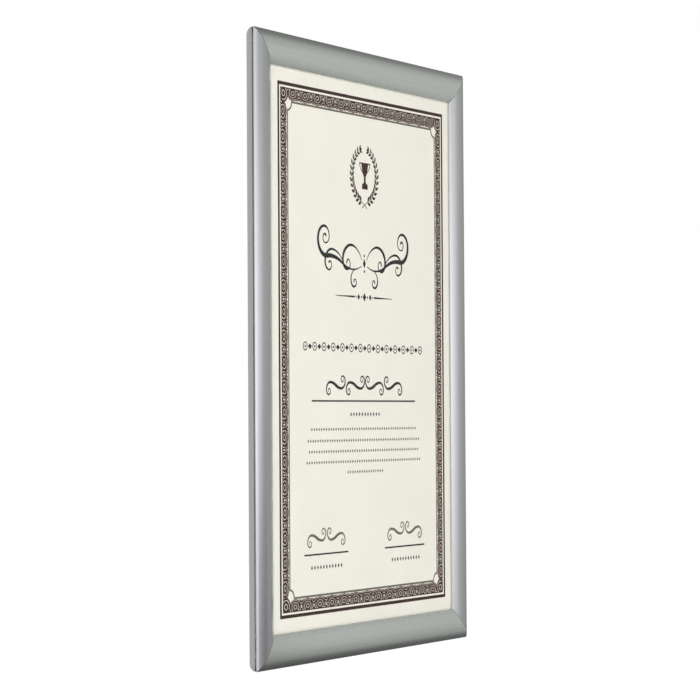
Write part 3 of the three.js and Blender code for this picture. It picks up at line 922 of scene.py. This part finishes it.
# each step of the cup is (height, width at its end), from the foot up
cup = {
    "foot": (1.6, 122.6), "footWide": 9.2, "rimWide": 17.0, "rimThick": 1.0,
    "steps": [(3.6, 8.6), (0.4, 6.0), (0.9, 3.6), (0.8, 2.9), (3.4, 2.8), (1.0, 4.0), (2.1, 6.8),
              (3.0, 9.2), (3.7, 10.6)],
    "handleThick": 0.9, "handleHeading": -95, "handleMoves": [(-8.3, 58, 0.72, 10)],
}


def drawCup():
    x, z = cup["foot"]
    rimHalf, rimThick, thick = cup["rimWide"] / 2, cup["rimThick"], cup["handleThick"]
    body = penStroke((x, z), 90, cup["footWide"], [(0, rise, width, 1) for rise, width in cup["steps"]])
    rimHeight = z + sum(rise for rise, width in cup["steps"]) + rimThick / 2
    rim = bar((x - rimHalf, rimHeight), 0, rimThick, cup["rimWide"])
    handle = penStroke((rimHalf - thick / 2, rimHeight), cup["handleHeading"], thick, cup["handleMoves"])
    handles = placed([handle, copied(handle, mirror=True)], Matrix.Translation(onPrint(x, 0)))
    return [body, rim, *handles]


rightSpray, leftSpray = drawWreath()
laidOnPaper([rightSpray], "print_laurel_right", darkInk)
laidOnPaper([leftSpray], "print_laurel_left", darkInk, 1)
laidOnPaper(drawCup(), "print_cup", darkInk)
print("wreath drawn")


# a scrolled flourish in the heading's place: each stroke is drawn once and mirrored
flourish = {"centre": (0, 70.5), "scale": 0.93, "weight": 1.35}
scrolls = [
    {"start": (4.6, -6.5), "heading": -24, "width": 0.5,
     "moves": [(36, 52, 1.7, 12), (-44, 34, 2.8, 10), (13.0, 95, 2.4, 14), (10.4, 85, 1.6, 12),
               (7.8, 95, 1.0, 12), (5.6, 110, 0.8, 12), (3.7, 120, 1.1, 10), (2.1, 130, 1.7, 8)]},
    {"start": (4.2, -1.5), "heading": 62, "width": 0.5,
     "moves": [(-22, 46, 1.3, 10), (-15, 70, 2.3, 12), (-9.5, 70, 1.8, 10), (-6.2, 90, 1.1, 10),
               (-4.0, 110, 0.8, 10), (-2.4, 150, 1.5, 10)]},
    {"start": (15, -9.6), "heading": -8, "width": 0.4,
     "moves": [(-9, 50, 1.0, 8), (-7, 70, 1.5, 8), (-4.4, 100, 1.1, 8), (-2.8, 110, 0.8, 8),
               (-1.7, 140, 1.3, 8)]},
    {"start": (33, -7.7), "heading": 62, "width": 0.4,
     "moves": [(-24, 60, 1.4, 10), (-11, 80, 1.8, 10), (-6.5, 100, 1.1, 10), (-4, 110, 0.8, 8),
               (-2.3, 140, 1.4, 8)]},
]


def drawScroll(scroll):
    weight = flourish["weight"]
    moves = [(radius, amount, width * weight, steps) for radius, amount, width, steps in scroll["moves"]]
    line = penStroke(scroll["start"], scroll["heading"], scroll["width"] * weight, moves)
    place = Matrix.Translation(onPrint(*flourish["centre"])) @ Matrix.Scale(flourish["scale"], 4)
    return placed([line, copied(line, mirror=True)], place)


knot = {"middle": (0, 66.6), "size": (4.4, 7.6), "dots": [(0, 60.6), (0, 72.4)], "dot": 1.1}


def drawKnot():
    parts = [lozenge(knot["middle"], *knot["size"])]
    parts += [flatDisc(spot, knot["dot"]) for spot in knot["dots"]]
    return parts


for number, scroll in enumerate(scrolls):
    laidOnPaper(drawScroll(scroll), "print_scroll_%d" % (number + 1), blackInk, number)
laidOnPaper(drawKnot(), "print_knot", blackInk)
print("flourish drawn")


# small ornaments and ruled lines where the lines of writing are
# each dot is (place, radius), the middle lozenge (width, height), the outer one (place, width, height)
divider = {"height": 41.3, "middle": (5.4, 6.6), "dots": [(4.6, 0.9), (13.0, 0.8)],
           "lozenge": (9.0, 4.2, 4.8), "lineFrom": 15.0, "lineLong": 29.5, "lineWide": (1.5, 0.4)}


def drawDivider():
    height = divider["height"]
    place, wide, high = divider["lozenge"]
    startWide, endWide = divider["lineWide"]
    parts = [lozenge((0, height), *divider["middle"])]
    for sign, heading in ((1, 0), (-1, 180)):
        for spot, radius in divider["dots"]:
            parts.append(flatDisc((sign * spot, height), radius, corners=10))
        parts.append(lozenge((sign * place, height), wide, high))
        parts.append(penStroke((sign * divider["lineFrom"], height), heading, startWide,
                               [(0, divider["lineLong"], endWide, 4)]))
    return parts


chain = {"links": 14, "pitch": 13.86, "height": 3.0, "ring": (2.4, 3.3), "dot": 1.0, "lozenge": (5.6, 4.2)}


def drawChain():
    links, pitch, height = chain["links"], chain["pitch"], chain["height"]
    parts = []
    for number in range(links):
        x = (number - (links - 1) / 2) * pitch
        parts.append(arcBand(*chain["ring"], 0, 360, 20, (x, height)))
        parts.append(flatDisc((x, height), chain["dot"], corners=10))
        if number < links - 1:
            parts.append(lozenge((x + pitch / 2, height), *chain["lozenge"]))
    return parts


# each line is (from, to, height)
rules = {"thick": 1.2, "lines": [(-81, 81, -36.6), (-93, -27.4, -148), (30, 95.5, -148)]}


def drawRules():
    return [bar((fromX, height), 0, rules["thick"], toX - fromX, steps=2)
            for fromX, toX, height in rules["lines"]]


# a lying scroll, wound in at both ends and widest at its middle
lyingScroll = {
    "heading": 45, "width": 0.6,
    "moves": [(1.3, 170, 0.9, 8), (2.0, 130, 1.1, 8), (3.1, 110, 1.3, 8), (5.2, 85, 1.7, 8),
              (15, 30, 2.3, 4), (-15, 30, 1.7, 4), (-5.2, 85, 1.3, 8), (-3.1, 110, 1.1, 8),
              (-2.0, 130, 0.9, 8), (-1.3, 170, 0.6, 8)],
}
# count is the number of scrolls to each side of the centre
scrollRows = {
    "print_name_scrolls": {"centre": (0, -25.0), "apart": 30.0, "size": 1.12, "count": 2, "ink": blackInk},
    "print_left_scrolls": {"centre": (-60.2, -136), "apart": 29, "size": 1.05, "count": 1, "ink": greyInk},
    "print_right_scrolls": {"centre": (62.7, -136), "apart": 29, "size": 1.05, "count": 1, "ink": greyInk},
}


def drawScrollRow(look):
    # scrolls side by side, those to the left of the centre mirrored
    line = penStroke((0, 0), lyingScroll["heading"], lyingScroll["width"], lyingScroll["moves"])
    box = [Vector(corner) for corner in line.bound_box]
    middle = sum(box, Vector()) / len(box)
    line.data.transform(Matrix.Scale(look["size"], 4) @ Matrix.Translation(-middle))
    parts = []
    for number in range(look["count"]):
        spot = onPrint(look["apart"] * (number + 0.5), 0)
        parts.append(copied(line, spot))
        parts.append(copied(line, spot, mirror=True))
    bpy.data.objects.remove(line)
    return placed(parts, Matrix.Translation(onPrint(*look["centre"])))


# each line is (from, to, height)
beadRows = {
    "print_bead_rows": {
        "bead": (2.4, 2.6), "pitch": 3.6, "ink": greyInk,
        "lines": [(-84, 84, -57.4), (-88.7, 88.7, -65.8), (-86.7, 86.7, -73.7), (-90, 90, -81.5),
                  (-30.5, 30.5, -89.3)],
    },
    "print_title_rows": {
        "bead": (2.4, 3.6), "pitch": 4.4, "ink": blackInk,
        "lines": [(-26, 26, -46.5), (-86, -34, -157.5), (38, 90, -157.5)],
    },
}


def drawBeadRows(look):
    # beads at an even pitch, centred between the two ends of each line
    bead = lozenge((0, 0), *look["bead"])
    parts = []
    for fromX, toX, height in look["lines"]:
        count = int((toX - fromX) / look["pitch"])
        first = (fromX + toX - (count - 1) * look["pitch"]) / 2
        for number in range(count):
            parts.append(copied(bead, onPrint(first + look["pitch"] * number, height)))
    bpy.data.objects.remove(bead)
    return parts


laidOnPaper(drawDivider(), "print_divider", blackInk)
laidOnPaper(drawChain(), "print_chain", blackInk)
laidOnPaper(drawRules(), "print_rules", blackInk)
for name, look in scrollRows.items():
    laidOnPaper(drawScrollRow(look), name, look["ink"])
for name, look in beadRows.items():
    laidOnPaper(drawBeadRows(look), name, look["ink"])
print("small ornaments drawn")


bpy.context.view_layer.update()
